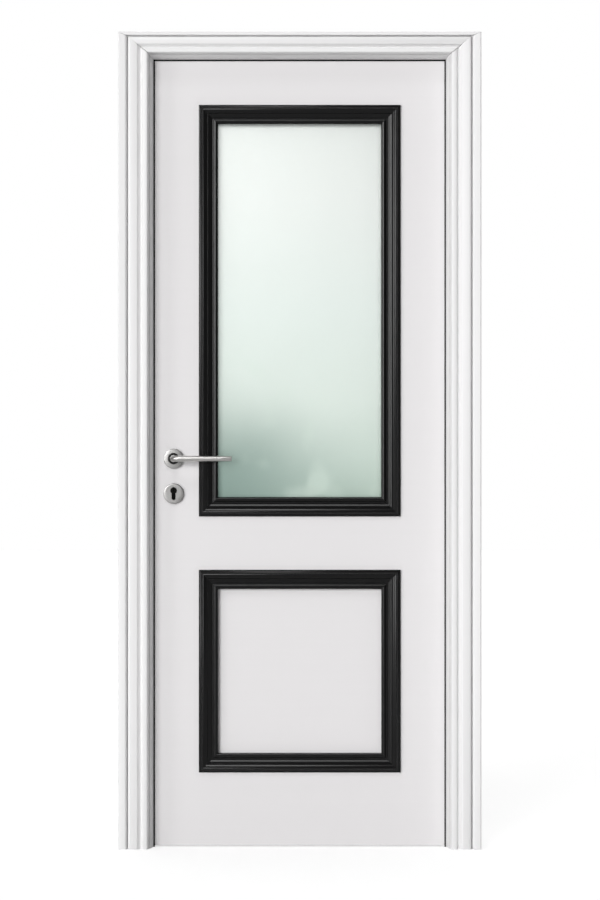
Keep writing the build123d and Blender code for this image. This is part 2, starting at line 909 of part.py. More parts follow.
def hinge_pin(hinge_height):
    bottom = hinge_height - hinge_length / 2
    shaft = rod(pin_radius, (hinge_axis_x, hinge_axis_y, bottom), up, hinge_length)
    foot = rod(pin_head_radius, (hinge_axis_x, hinge_axis_y, bottom), down, pin_head_height)
    head_start = (hinge_axis_x, hinge_axis_y, bottom + hinge_length)
    head = rod(pin_head_radius, head_start, up, pin_head_height)
    foot = chamfer(foot.faces().sort_by(Axis.Z)[0].edges(), pin_head_chamfer)
    head = chamfer(head.faces().sort_by(Axis.Z)[-1].edges(), pin_head_chamfer)
    return shaft + foot + head


def fixing_holes():
    holes = []
    for step in (-1, 1):
        start = (rebate_x - 1, 0, fixing_centre + step * fixing_spacing / 2)
        holes.append(rod(fixing_hole_radius, start, right, lining_thickness + 2))
    return holes


def hinge_leg(leg):
    for height in hinge_heights:
        leg -= hinge_plate(height, rebate_x)
        for place in hinge_screw_places(height, rebate_x):
            leg -= screw_hole(place, left)
    for hole in fixing_holes():
        leg -= hole
    return leg


def lock_leg(leg):
    leg -= strike_blank()
    for place in strike_screw_places():
        leg -= screw_hole(place, right)
    for hole in fixing_holes():
        leg -= mirrored_x(hole)
    return leg


def main():
    os.makedirs("parts", exist_ok=True)

    leg, head = lining()
    write(hinge_leg(leg), "lining_hinge_side")
    write(lock_leg(mirrored_x(leg)), "lining_lock_side")
    write(head, "lining_head")
    leg, head = planted_stop()
    write(leg, "stop_hinge_side")
    write(mirrored_x(leg), "stop_lock_side")
    write(head, "stop_head")
    write(frame_seal(), "frame_seal")

    casing = casing_pair(
        casing_section, casing_width, head_casing_width, casing_inner_x, casing_inner_z
    )
    band = casing_pair(
        band_section, backband_width, head_backband_width, casing_outer_x, casing_outer_z
    )
    pairs = {"casing": casing, "backband": band, "rear_casing": rear_casing_pair()}
    for name, (leg, head) in pairs.items():
        write(leg, name + "_right")
        write(mirrored_x(leg), name + "_left")
        write(head, name + "_head")

    write(lock_stile(), "lock_stile")
    write(hinge_stile(), "hinge_stile")
    write(rail(floor_gap, lower_moulding_bottom + moulding_cover), "bottom_rail")
    middle_low = lower_moulding_top - moulding_cover
    write(rail(middle_low, upper_moulding_bottom + moulding_cover), "middle_rail")
    write(rail(upper_moulding_top - moulding_cover, leaf_top), "top_rail")
    write(skin(leaf_front, -core_half), "front_skin")
    write(rear_skin(), "rear_skin")
    write(pane(), "glass_pane")
    write(Compound([glazing_seal(), mirrored_y(glazing_seal())]), "glazing_seals")
    write(panel(), "lower_panel")

    pane_tongue = -leaf_front - pane_thickness / 2 - glazing_seal_thickness
    panel_tongue = -leaf_front - panel_thickness / 2
    upper_moulding = moulding_members(upper_moulding_bottom, upper_moulding_top, pane_tongue)
    lower_moulding = moulding_members(lower_moulding_bottom, lower_moulding_top, panel_tongue)
    for name, members in (("upper_moulding", upper_moulding), ("lower_moulding", lower_moulding)):
        for place, member in members.items():
            write(member, name + "_" + place)
        rear_members = [mirrored_y(member) for member in members.values()]
        write(Compound(rear_members), "rear_" + name)

    write(lock_case(), "lock_case")
    write(faceplate(), "lock_faceplate")
    write(sliding_bolt(latch_width, latch_height, latch_height_centre, latch_length), "latch_bolt")
    dead = sliding_bolt(dead_bolt_width, dead_bolt_height, dead_bolt_centre, dead_bolt_length)
    write(dead, "dead_bolt")
    write(lock_barrel(), "lock_barrel")
    write(lock_plug(), "lock_plug")
    write(strike_plate(), "strike_plate")

    write(lever_rose(), "front_rose")
    write(mirrored_y(lever_rose()), "rear_rose")
    write(key_rose(), "front_key_rose")
    write(mirrored_y(key_rose()), "rear_key_rose")
    write(lever(), "front_lever")
    write(mirrored_y(lever()), "rear_lever")
    write(spindle(), "lever_spindle")
    write(follower(), "lever_follower")

    frame_screws = [screw(place, right) for place in strike_screw_places()]
    leaf_screws = [screw(place, left) for place in faceplate_screw_places()]
    for name, height in zip(("bottom", "middle", "top"), hinge_heights):
        write(frame_hinge_half(height), name + "_hinge_frame_half")
        write(leaf_hinge_half(height), name + "_hinge_leaf_half")
        frame_screws += [screw(place, left) for place in hinge_screw_places(height, rebate_x)]
        leaf_screws += [screw(place, right) for place in hinge_screw_places(height, leaf_half)]
    write(Compound([hinge_pin(height) for height in hinge_heights]), "hinge_pins")
    write(Compound(frame_screws), "frame_screws")
    write(Compound(leaf_screws), "leaf_screws")


main()
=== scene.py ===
import math

import bmesh
import bpy
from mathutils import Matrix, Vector


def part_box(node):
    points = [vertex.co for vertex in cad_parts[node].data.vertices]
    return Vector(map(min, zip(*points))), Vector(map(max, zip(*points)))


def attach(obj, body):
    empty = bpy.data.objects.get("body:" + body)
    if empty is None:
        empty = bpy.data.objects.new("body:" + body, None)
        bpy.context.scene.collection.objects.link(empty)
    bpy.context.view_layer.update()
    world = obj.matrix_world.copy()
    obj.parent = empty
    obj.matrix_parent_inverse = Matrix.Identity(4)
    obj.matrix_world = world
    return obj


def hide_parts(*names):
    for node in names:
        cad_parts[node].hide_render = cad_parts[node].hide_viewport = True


# A white door with a frosted pane, in its lining. Metres; X right, Y away from the viewer, Z up.

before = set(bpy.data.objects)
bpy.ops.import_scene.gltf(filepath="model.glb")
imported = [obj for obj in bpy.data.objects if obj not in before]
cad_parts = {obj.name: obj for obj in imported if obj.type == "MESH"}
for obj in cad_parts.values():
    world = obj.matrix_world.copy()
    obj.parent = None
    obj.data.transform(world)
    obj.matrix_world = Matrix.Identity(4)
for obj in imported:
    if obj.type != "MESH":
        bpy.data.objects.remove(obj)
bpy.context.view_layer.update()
print("frame loaded:", len(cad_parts), "nodes")


# Shader nodes
def addNode(tree, kind, **settings):
    node = tree.nodes.new(kind)
    for name, value in settings.items():
        setattr(node, name, value)
    return node


def setInputs(node, values):
    for label, value in values.items():
        node.inputs[label].default_value = value
    return node


def plug(tree, socket, value):
    # A number or colour is set on the socket, an output is linked to it
    if isinstance(value, bpy.types.NodeSocket):
        tree.links.new(value, socket)
    else:
        socket.default_value = value


def calc(tree, operation, *values):
    node = addNode(tree, "ShaderNodeMath", operation=operation)
    for socket, value in zip(node.inputs, values):
        plug(tree, socket, value)
    return node.outputs[0]


def vectorCalc(tree, operation, first, second):
    node = addNode(tree, "ShaderNodeVectorMath", operation=operation)
    plug(tree, node.inputs[0], first)
    plug(tree, node.inputs["Scale" if operation == "SCALE" else 1], second)
    return node.outputs[0]


def mixColors(tree, factor, first, second):
    node = addNode(tree, "ShaderNodeMix", data_type="RGBA")
    for index, value in ((0, factor), (6, first), (7, second)):
        plug(tree, node.inputs[index], value)
    return node.outputs[2]


def spread(tree, value, fromLow, fromHigh, toLow, toHigh, smooth=False):
    node = addNode(tree, "ShaderNodeMapRange", interpolation_type="SMOOTHSTEP" if smooth else "LINEAR")
    setInputs(node, {"From Min": fromLow, "From Max": fromHigh, "To Min": toLow, "To Max": toHigh})
    plug(tree, node.inputs["Value"], value)
    return node.outputs[0]


def noise(tree, vector, scale, detail=3.0, roughness=0.5):
    node = addNode(tree, "ShaderNodeTexNoise")
    setInputs(node, {"Detail": detail, "Roughness": roughness})
    plug(tree, node.inputs["Scale"], scale)
    plug(tree, node.inputs["Vector"], vector)
    return node.outputs["Fac"]


def swing(tree, value, amount):
    # A noise runs round 0.5; this one runs round zero, by the given amount
    return calc(tree, "MULTIPLY", calc(tree, "SUBTRACT", value, 0.5), amount)


def axesOf(tree, vector):
    node = addNode(tree, "ShaderNodeSeparateXYZ")
    plug(tree, node.inputs[0], vector)
    return node.outputs


def newGroup(name, inputs, outputs):
    group = bpy.data.node_groups.new(name, "ShaderNodeTree")
    for label, kind, value in inputs:
        socket = group.interface.new_socket(label, in_out="INPUT", socket_type="NodeSocket" + kind)
        if value is not None:
            socket.default_value = value
    for label, kind in outputs:
        group.interface.new_socket(label, in_out="OUTPUT", socket_type="NodeSocket" + kind)
    start = addNode(group, "NodeGroupInput")
    end = addNode(group, "NodeGroupOutput")
    return group, start.outputs, end.inputs


finishOutputs = (("Color", "Color"), ("Roughness", "Float"), ("Height", "Float"))


coatRecipe = {"driftScale": 1.7, "lineRoughness": 0.6, "lineRelief": 0.6, "glossRange": (0.9, 1.1)}


def sprayedCoat():
    # Sprayed lacquer: a slow drift of tone, faint lines of the board below, and orange peel
    group, given, out = newGroup(
        "sprayedCoat",
        [
            ("Vector", "Vector", None),
            ("Color", "Color", (0.8, 0.8, 0.8, 1)),
            ("Drift", "Float", 0.02),
            ("Lines", "Vector", (0.6, 0.6, 60)),
            ("Line Depth", "Float", 0.01),
            ("Gloss", "Float", 0.4),
            ("Peel", "Float", 420.0),
        ],
        finishOutputs,
    )
    slow = noise(group, given["Vector"], coatRecipe["driftScale"], detail=2.0)
    stretched = vectorCalc(group, "MULTIPLY", given["Vector"], given["Lines"])
    lines = noise(group, stretched, 1.0, detail=4.0, roughness=coatRecipe["lineRoughness"])
    peel = noise(group, given["Vector"], given["Peel"], detail=2.0)
    tone = swing(group, slow, given["Drift"])
    line = swing(group, lines, given["Line Depth"])
    shade = calc(group, "ADD", calc(group, "ADD", tone, line), 1.0)
    plug(group, out["Color"], vectorCalc(group, "SCALE", given["Color"], shade))
    gloss = spread(group, slow, 0, 1, *coatRecipe["glossRange"])
    plug(group, out["Roughness"], calc(group, "MULTIPLY", given["Gloss"], gloss))
    relief = calc(group, "MULTIPLY", lines, coatRecipe["lineRelief"])
    plug(group, out["Height"], calc(group, "ADD", peel, relief))
    return group


metalRecipe = {"scratchRoughness": 0.65, "patchScale": 35.0, "scratchGloss": (0.75, 1.25), "patchGloss": (0.9, 1.1)}


def brushedMetal():
    # Fine parallel scratches, duller in some patches
    group, given, out = newGroup(
        "brushedMetal",
        [
            ("Vector", "Vector", None),
            ("Color", "Color", (0.6, 0.6, 0.6, 1)),
            ("Grain", "Vector", (40, 900, 900)),
            ("Gloss", "Float", 0.3),
            ("Contrast", "Float", 0.1),
        ],
        finishOutputs,
    )
    stretched = vectorCalc(group, "MULTIPLY", given["Vector"], given["Grain"])
    scratches = noise(group, stretched, 1.0, detail=3.0, roughness=metalRecipe["scratchRoughness"])
    patches = noise(group, given["Vector"], metalRecipe["patchScale"], detail=2.0)
    shade = calc(group, "ADD", swing(group, scratches, given["Contrast"]), 1.0)
    plug(group, out["Color"], vectorCalc(group, "SCALE", given["Color"], shade))
    gloss = calc(group, "MULTIPLY", given["Gloss"], spread(group, scratches, 0, 1, *metalRecipe["scratchGloss"]))
    gloss = calc(group, "MULTIPLY", gloss, spread(group, patches, 0, 1, *metalRecipe["patchGloss"]))
    plug(group, out["Roughness"], gloss)
    plug(group, out["Height"], scratches)
    return group


# Reaches are shares of the pane, measured from its lower left corner
# A pale green tint with painted light and shade: the stops run from a painted dark bottom to a painted near-white top
paneTintAndPaintedLight = {
    "stops": (
        (0.0, (0.48, 0.59, 0.52, 1)),
        (0.1, (0.63, 0.73, 0.665, 1)),
        (0.26, (0.78, 0.86, 0.805, 1)),
        (0.5, (0.86, 0.93, 0.89, 1)),
        (0.8, (0.955, 0.995, 0.965, 1)),
    ),
    "wander": 0.16, "wanderScale": 4.0, "wanderOnStops": 0.4,
    "acrossWeight": 0.75, "heightWeight": 2.1,
    "cornerReach": (0.05, 0.75), "cornerDepth": 0.85,
    "blotchReach": (0.45, 1.1), "blotchScale": 9.0, "blotchNoise": (0.52, 0.72), "blotchDepth": 0.5,
    "farCornerShade": 0.84,
    "grainScale": 2600.0, "grainGloss": (0.93, 1.07),
}


def frostedTintAndPaintedLight(low, high):
    # Etched pale green glass with painted light and shade of the room behind it: nearly white at the top left,
    # grey-green below, darker and blotched at the lower left, shaded towards the top right
    group, given, out = newGroup(
        "frostedTintAndPaintedLight",
        [
            ("Vector", "Vector", None),
            ("Corner Shade Color", "Color", (0.25, 0.36, 0.32, 1)),
            ("Blotch Light Color", "Color", (0.72, 0.83, 0.75, 1)),
            ("Gloss", "Float", 0.5),
        ],
        finishOutputs,
    )
    axes = axesOf(group, given["Vector"])
    across = spread(group, axes["X"], low.x, high.x, 0, 1)
    height = spread(group, axes["Z"], low.z, high.z, 0, 1)
    slow = noise(group, given["Vector"], paneTintAndPaintedLight["wanderScale"], detail=2.0)
    wander = swing(group, slow, paneTintAndPaintedLight["wander"])
    ramp = addNode(group, "ShaderNodeValToRGB")
    marks = ramp.color_ramp.elements
    while len(marks) < len(paneTintAndPaintedLight["stops"]):
        marks.new(0.5)
    for mark, (position, color) in zip(marks, paneTintAndPaintedLight["stops"]):
        mark.position = position
        mark.color = color
    onStops = calc(group, "MULTIPLY", wander, paneTintAndPaintedLight["wanderOnStops"])
    plug(group, ramp.inputs[0], calc(group, "ADD", height, onStops))

    acrossPart = calc(group, "POWER", calc(group, "MULTIPLY", across, paneTintAndPaintedLight["acrossWeight"]), 2.0)
    heightPart = calc(group, "POWER", calc(group, "MULTIPLY", height, paneTintAndPaintedLight["heightWeight"]), 2.0)
    reach = calc(group, "ADD", calc(group, "SQRT", calc(group, "ADD", acrossPart, heightPart)), wander)
    # A painted shaded corner at the lower left, with painted lighter blotches in it
    nearCorner = spread(group, reach, *paneTintAndPaintedLight["cornerReach"], 1, 0, smooth=True)
    corner = calc(group, "MULTIPLY", nearCorner, paneTintAndPaintedLight["cornerDepth"])
    color = mixColors(group, corner, ramp.outputs[0], given["Corner Shade Color"])
    blotches = noise(group, given["Vector"], paneTintAndPaintedLight["blotchScale"], detail=1.5)
    spots = spread(group, blotches, *paneTintAndPaintedLight["blotchNoise"], 0, paneTintAndPaintedLight["blotchDepth"], smooth=True)
    nearBlotches = spread(group, reach, *paneTintAndPaintedLight["blotchReach"], 1, 0, smooth=True)
    color = mixColors(group, calc(group, "MULTIPLY", spots, nearBlotches), color, given["Blotch Light Color"])
    # Painted shade towards the top right
    fall = spread(group, calc(group, "MULTIPLY", across, height), 0, 1, 1.0, paneTintAndPaintedLight["farCornerShade"])
    plug(group, out["Color"], vectorCalc(group, "SCALE", color, fall))
    grain = noise(group, given["Vector"], paneTintAndPaintedLight["grainScale"], detail=2.0)
    gloss = spread(group, grain, 0, 1, *paneTintAndPaintedLight["grainGloss"])
    plug(group, out["Roughness"], calc(group, "MULTIPLY", given["Gloss"], gloss))
    plug(group, out["Height"], grain)
    return group


effects = {
    "coat": sprayedCoat(),
    "brushed": brushedMetal(),
    "frosted": frostedTintAndPaintedLight(*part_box("glass_pane")),
}


def newMaterial(name, effect, values, bump, shader):
    material = bpy.data.materials.new(name)
    material.use_nodes = True
    tree = material.node_tree
    bsdf = setInputs(tree.nodes["Principled BSDF"], shader)
    place = addNode(tree, "ShaderNodeTexCoord")
    group = addNode(tree, "ShaderNodeGroup", node_tree=effects[effect])
    plug(tree, group.inputs["Vector"], place.outputs["Object"])
    setInputs(group, values)
    relief = setInputs(addNode(tree, "ShaderNodeBump"), {"Strength": bump[0], "Distance": bump[1]})
    plug(tree, relief.inputs["Height"], group.outputs["Height"])
    plug(tree, bsdf.inputs["Base Color"], group.outputs["Color"])
    plug(tree, bsdf.inputs["Roughness"], group.outputs["Roughness"])
    plug(tree, bsdf.inputs["Normal"], relief.outputs["Normal"])
    return material


# Bump is a strength and a distance
coats = {
    "leafWhite": {
        "values": {"Color": (0.785, 0.77, 0.777, 1), "Drift": 0.02, "Lines": (0.5, 0.5, 70), "Line Depth": 0.02,
                   "Gloss": 0.42},
        "bump": (0.05, 0.0004), "specular": 0.3,
    },
    "frameWhite": {
        "values": {"Color": (0.87, 0.865, 0.868, 1), "Drift": 0.015, "Lines": (60, 60, 0.8), "Line Depth": 0.008,
                   "Gloss": 0.4},
        "bump": (0.05, 0.0004), "specular": 0.3,
    },
    "mouldingBlack": {
        "values": {"Color": (0.0035, 0.0035, 0.0037, 1), "Drift": 0.3, "Lines": (300, 300, 300), "Line Depth": 0.3,
                   "Gloss": 0.2},
        "bump": (0.03, 0.0003), "specular": 0.3,
    },
    "sealBlack": {
        "values": {"Color": (0.005, 0.005, 0.005, 1), "Drift": 0.2, "Lines": (500, 500, 500), "Line Depth": 0.2,
                   "Gloss": 0.8},
        "bump": (0.2, 0.0004), "specular": 0.12,
    },
    # Black nylon, whose black also stands in for painted shade in the rose's recess
    "bushNylon": {
        "values": {"Color": (0.006, 0.006, 0.006, 1), "Drift": 0.2, "Lines": (700, 700, 700), "Line Depth": 0.2,
                   "Gloss": 0.5},
        "bump": (0.1, 0.0003), "specular": 0.2,
    },
}
metals = {
    "satinSteel": {
        "values": {"Color": (0.60, 0.59, 0.575, 1), "Grain": (60, 1400, 1400), "Gloss": 0.3, "Contrast": 0.1},
        "bump": (0.05, 0.0002),
    },
    # A darker copy of the satin steel: painted shade on the flat faces of the roses, faceplate and strike plate
    "roseSteel": {
        "values": {"Color": (0.37, 0.365, 0.36, 1), "Grain": (1200, 1200, 90), "Gloss": 0.3, "Contrast": 0.1},
        "bump": (0.05, 0.0002),
    },
    "hingeSteel": {
        "values": {"Color": (0.60, 0.59, 0.58, 1), "Grain": (1200, 1200, 60), "Gloss": 0.32, "Contrast": 0.12},
        "bump": (0.1, 0.0002),
    },
    "zincSteel": {
        "values": {"Color": (0.62, 0.62, 0.60, 1), "Grain": (300, 300, 300), "Gloss": 0.4, "Contrast": 0.15},
        "bump": (0.1, 0.0002),
    },
    # Barrel and plug nearly black: painted shade of the keyhole's hollow on nickel
    "barrelShadeNickel": {
        "values": {"Color": (0.006, 0.006, 0.006, 1), "Grain": (1100, 1100, 1100), "Gloss": 0.28, "Contrast": 0.2},
        "bump": (0.1, 0.0002),
    },
    "plugShadeNickel": {
        "values": {"Color": (0.02, 0.0195, 0.0185, 1), "Grain": (1100, 1100, 1100), "Gloss": 0.22, "Contrast": 0.2},
        "bump": (0.1, 0.0002),
    },
}
materials = {}
for name, facts in coats.items():
    shader = {"Specular IOR Level": facts["specular"]}
    materials[name] = newMaterial(name, "coat", facts["values"], facts["bump"], shader)
for name, facts in metals.items():
    materials[name] = newMaterial(name, "brushed", facts["values"], facts["bump"], {"Metallic": 1.0})
materials["frostedPane"] = newMaterial(
    "frostedPane", "frosted", {"Gloss": 0.5}, (0.1, 0.0003),
    {"Transmission Weight": 0.85, "IOR": 1.45, "Specular IOR Level": 0.3},
)
print("materials made:", len(materials))


# Sections and sizes in the dictionaries are in millimetres
mm = 0.001
right = Vector((1, 0, 0))
left = Vector((-1, 0, 0))
rearward = Vector((0, 1, 0))
frontward = Vector((0, -1, 0))
up = Vector((0, 0, 1))
down = Vector((0, 0, -1))


def arcPoints(start, middle, end, count):
    # Points after start on the circle through the three
    (ax, ay), (bx, by), (cx, cy) = start, middle, end
    d = 2 * (ax * (by - cy) + bx * (cy - ay) + cx * (ay - by))
    a, b, c = ax * ax + ay * ay, bx * bx + by * by, cx * cx + cy * cy
    ux = (a * (by - cy) + b * (cy - ay) + c * (ay - by)) / d
    uy = (a * (cx - bx) + b * (ax - cx) + c * (bx - ax)) / d
    radius = math.hypot(ax - ux, ay - uy)
    first = math.atan2(ay - uy, ax - ux)
    turn = 2 * math.pi
    toMiddle = (math.atan2(by - uy, bx - ux) - first) % turn
    toEnd = (math.atan2(cy - uy, cx - ux) - first) % turn
    if toMiddle > toEnd:
        toEnd -= turn
    angles = [first + toEnd * step / count for step in range(1, count + 1)]
    return [(ux + radius * math.cos(t), uy + radius * math.sin(t)) for t in angles]


def sectionLine(start, moves, steps=9):
    # A move is a point, or an arc given by its middle and its end
    points = [start]
    for move in moves:
        if isinstance(move[0], tuple):
            points += arcPoints(points[-1], move[0], move[1], steps)
        else:
            points.append(move)
    return points


def softened(points, radius, steps=3, least=22.0, most=0.45):
    # Rounds the corners of a closed outline that turn by more than least degrees, over at most that share of a side
    result = []
    for index, here in enumerate(points):
        corner = Vector(here)
        back = Vector(points[index - 1]) - corner
        ahead = Vector(points[(index + 1) % len(points)]) - corner
        turn = math.pi - back.angle(ahead)
        if math.degrees(turn) < least:
            result.append(tuple(corner))
            continue
        reach = min(radius * math.tan(turn / 2), most * back.length, most * ahead.length)
        first = corner + back.normalized() * reach
        last = corner + ahead.normalized() * reach
        for step in range(steps + 1):
            t = step / steps
            result.append(tuple((1 - t) ** 2 * first + 2 * t * (1 - t) * corner + t * t * last))
    return result


def quarterTurn(steps):
    # Cosine and sine from 0 to 90 degrees
    angles = [math.pi / 2 * step / steps for step in range(steps + 1)]
    return [(math.cos(angle), math.sin(angle)) for angle in angles]


def newPiece(name, vertices, faces, body, material, slot, replaced=(), sharp=32):
    shell = bmesh.new()
    places = [shell.verts.new(v) for v in vertices]
    for face in faces:
        shell.faces.new([places[i] for i in face])
    bmesh.ops.remove_doubles(shell, verts=shell.verts, dist=1e-7)
    bmesh.ops.recalc_face_normals(shell, faces=shell.faces)
    mesh = bpy.data.meshes.new(name)
    shell.to_mesh(mesh)
    shell.free()
    for polygon in mesh.polygons:
        polygon.use_smooth = True
    mesh.set_sharp_from_angle(angle=math.radians(sharp))
    mesh.materials.append(materials[material])
    piece = bpy.data.objects.new(name, mesh)
    bpy.context.scene.collection.objects.link(piece)
    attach(piece, body)
    if replaced:
        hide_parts(*replaced)
    return piece


def ringFaces(ringCount, pointCount, closedRun=False):
    # The sides between rings of points; a run that isn't closed gets a face at each end
    faces = []
    for ring in range(ringCount if closedRun else ringCount - 1):
        after = (ring + 1) % ringCount
        for index in range(pointCount):
            beside = (index + 1) % pointCount
            faces.append((ring * pointCount + index, ring * pointCount + beside,
                          after * pointCount + beside, after * pointCount + index))
    if not closedRun:
        faces.append(tuple(range(pointCount)))
        faces.append(tuple((ringCount - 1) * pointCount + index for index in range(pointCount)))
    return faces


def barShell(outline, start, run, across, outward, length, startSlope=0.0, endSlope=0.0, ease=0.3, gaps=(0.0, 0.0)):
    # A straight bar of one section, each end square or mitred, its end edges eased so that a joint shows
    first, last = gaps[0], length - gaps[1]
    centreV = sum(v for v, h in outline) / len(outline)
    centreH = sum(h for v, h in outline) / len(outline)
    rings = []
    for along, slope, shrink in (
        (first, startSlope, ease), (first + ease, startSlope, 0.0),
        (last - ease, endSlope, 0.0), (last, endSlope, ease),
    ):
        for v, h in outline:
            pull = shrink / max(1.0, math.hypot(v - centreV, h - centreH))
            eased = (v + (centreV - v) * pull, h + (centreH - h) * pull)
            place = across * eased[0] + outward * eased[1] + run * (along + slope * v)
            rings.append(start + place * mm)
    return rings, ringFaces(4, len(outline))


def joined(shells):
    vertices, faces = [], []
    for points, sides in shells:
        offset = len(vertices)
        vertices += points
        faces += [tuple(i + offset for i in side) for side in sides]
    return vertices, faces


# Casings round the lining
casing = {
    "section": ((0.5, 0), [(0.7, 3.5), (3.6, 13.8), ((5.2, 17.4), (8.4, 18.7)), (14.6, 18.9),
                           ((18.4, 17.0), (20.4, 11.6)), ((21.6, 10.1), (23.2, 10.4)), (30.2, 18.0),
                           ((32.2, 19.4), (35.0, 20)), (48.6, 20), ((53.6, 18.0), (56.6, 12.5)), (56.6, 3),
                           (58.0, 2), (58.0, 0)]),
    "band": ((0, 0), [(0, 2), (1.2, 3), (1.2, 12.0), ((2.8, 17.0), (6.3, 20)), (20.5, 20),
                      ((23.3, 18.8), (24.5, 16)), (24.5, 0)]),
    "rearSection": ((0, 0), [(0, 9), ((1.76, 13.24), (6, 15)), (42, 15), ((44.1, 14.1), (45, 12)), (45, 0),
                             (20, 0), (20, 1.5), (18, 1.5), (18, 0)]),
    "arris": 0.5, "endEase": 0.5, "mitreGap": 0.55,
}


def casingSet(title, node, section, outward, backFace):
    # Two legs and a head; the head may be narrower, so its section is squeezed and the mitre follows
    low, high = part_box(node + "_right")
    headLow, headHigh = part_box(node + "_head")
    share = (headHigh.z - headLow.z) / mm / ((high.x - low.x) / mm)
    line = sectionLine(*section)
    outline = softened(line, casing["arris"])
    squeezed = softened([(v * share, h) for v, h in line], casing["arris"])
    ease, gap = casing["endEase"], casing["mitreGap"]
    finish = ("frame", "frameWhite", "white_lacquer")
    for side, across in (("right", right), ("left", left)):
        start = Vector((low.x * across.x, backFace, 0))
        shell = barShell(outline, start, up, across, outward, headLow.z / mm, 0.0, share, ease, (0.0, gap))
        newPiece(title + side.capitalize(), *shell, *finish, [node + "_" + side])
    start = Vector((-low.x, backFace, headLow.z))
    shell = barShell(squeezed, start, right, up, outward, 2 * low.x / mm, -1 / share, 1 / share, ease, (gap, gap))
    newPiece(title + "Head", *shell, *finish, [node + "_head"])


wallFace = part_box("casing_right")[1].y
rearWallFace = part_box("rear_casing_right")[0].y
casingSet("casing", "casing", casing["section"], frontward, wallFace)
casingSet("backband", "backband", casing["band"], frontward, wallFace)
casingSet("rearCasing", "rear_casing", casing["rearSection"], rearward, rearWallFace)
print("casings made")

# Mouldings round the pane and the panel
moulding = {
    "section": ((0, 0), [(0, 6.2), (4.0, 6.2), ((7.4, 8.9), (9.8, 13.2)), ((11.6, 15.1), (14.0, 15.0)),
                         ((18.8, 13.3), (23.0, 10.4)), (24.2, 11.7), ((30.4, 9.3), (35.6, 5.6)), (37.2, 5.6),
                         ((39.3, 6.6), (40.6, 8.4)), ((45.6, 9.3), (50.3, 5.9)), (51.0, 5.0)]),
    "tongueFrom": 43.3, "arris": 0.35, "endEase": 0.2,
}
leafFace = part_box("front_skin")[0].y


def mouldingSet(title, prefix, side, rearNode=None):
    # Four mitred members; side is -1 for the front of the leaf and 1 for its rear
    low = Vector((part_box(prefix + "_left")[0].x, 0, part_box(prefix + "_bottom")[0].z))
    high = Vector((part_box(prefix + "_right")[1].x, 0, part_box(prefix + "_top")[1].z))
    tongue = (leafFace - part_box(prefix + "_left")[1].y) / mm
    start, moves = moulding["section"]
    tongueFrom = moulding["tongueFrom"]
    tongueMoves = [(moves[-1][0], tongue), (tongueFrom, tongue), (tongueFrom, 0)]
    outline = softened(sectionLine(start, moves + tongueMoves), moulding["arris"])
    outward = frontward if side < 0 else rearward
    faceY = leafFace * -side
    tall = (high.z - low.z) / mm
    wide = (high.x - low.x) / mm
    members = {
        "Left": ((low.x, faceY, low.z), up, right, tall),
        "Right": ((high.x, faceY, low.z), up, left, tall),
        "Bottom": ((low.x, faceY, low.z), right, up, wide),
        "Top": ((low.x, faceY, high.z), right, down, wide),
    }
    shells = {
        place: barShell(outline, Vector(corner), run, across, outward, length, 1.0, -1.0, moulding["endEase"])
        for place, (corner, run, across, length) in members.items()
    }
    finish = ("leaf", "mouldingBlack", "black_lacquer")
    if rearNode:
        newPiece(title, *joined(shells.values()), *finish, [rearNode])
        return
    for place, shell in shells.items():
        newPiece(title + place, *shell, *finish, [prefix + "_" + place.lower()])


for title, prefix in (("upperMoulding", "upper_moulding"), ("lowerMoulding", "lower_moulding")):
    mouldingSet(title, prefix, -1)
    mouldingSet("rear" + title[0].upper() + title[1:], prefix, 1, "rear_" + prefix)
print("mouldings made")

# Stops and their seal
stop = {
    "splay": 8.0, "grooveFrom": 4.5, "grooveTo": 7.5, "grooveDepth": 5.6,
    "jointFrom": 8.4, "jointTo": 9.3, "jointDepth": 3.0, "arris": 0.4, "endEase": 0.15,
}
seal = {
    "reach": 3.5, "lip": 2.7, "nose": 1.0, "stemFrom": 8.1, "stemTo": 10.9, "stemDepth": 5.5,
    "arris": 0.25, "endEase": 0.05,
}


def stopSet():
    # v runs from the edge beside the leaf to the lining, h from the leaf side to the front
    low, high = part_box("stop_hinge_side")
    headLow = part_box("stop_head")[0]
    width = (high.x - low.x) / mm
    depth = (high.y - low.y) / mm
    jointFloor = depth - stop["jointDepth"]
    outline = softened(
        [
            (0, 0), (stop["grooveFrom"], 0), (stop["grooveFrom"], stop["grooveDepth"]),
            (stop["grooveTo"], stop["grooveDepth"]), (stop["grooveTo"], 0), (width, 0), (width, depth),
            (stop["jointTo"], depth), (stop["jointTo"], jointFloor), (stop["jointFrom"], jointFloor),
            (stop["jointFrom"], depth), (stop["splay"], depth),
        ],
        stop["arris"],
    )
    finish = ("frame", "frameWhite", "white_lacquer")
    for name, node, across in (("stopRight", "stop_hinge_side", right), ("stopLeft", "stop_lock_side", left)):
        start = Vector((low.x * across.x, high.y, 0))
        shell = barShell(outline, start, up, across, frontward, headLow.z / mm, 0.0, 1.0, stop["endEase"])
        newPiece(name, *shell, *finish, [node])
    start = Vector((-low.x, high.y, headLow.z))
    shell = barShell(outline, start, right, up, frontward, 2 * low.x / mm, -1.0, 1.0, stop["endEase"])
    newPiece("stopHead", *shell, *finish, ["stop_head"])


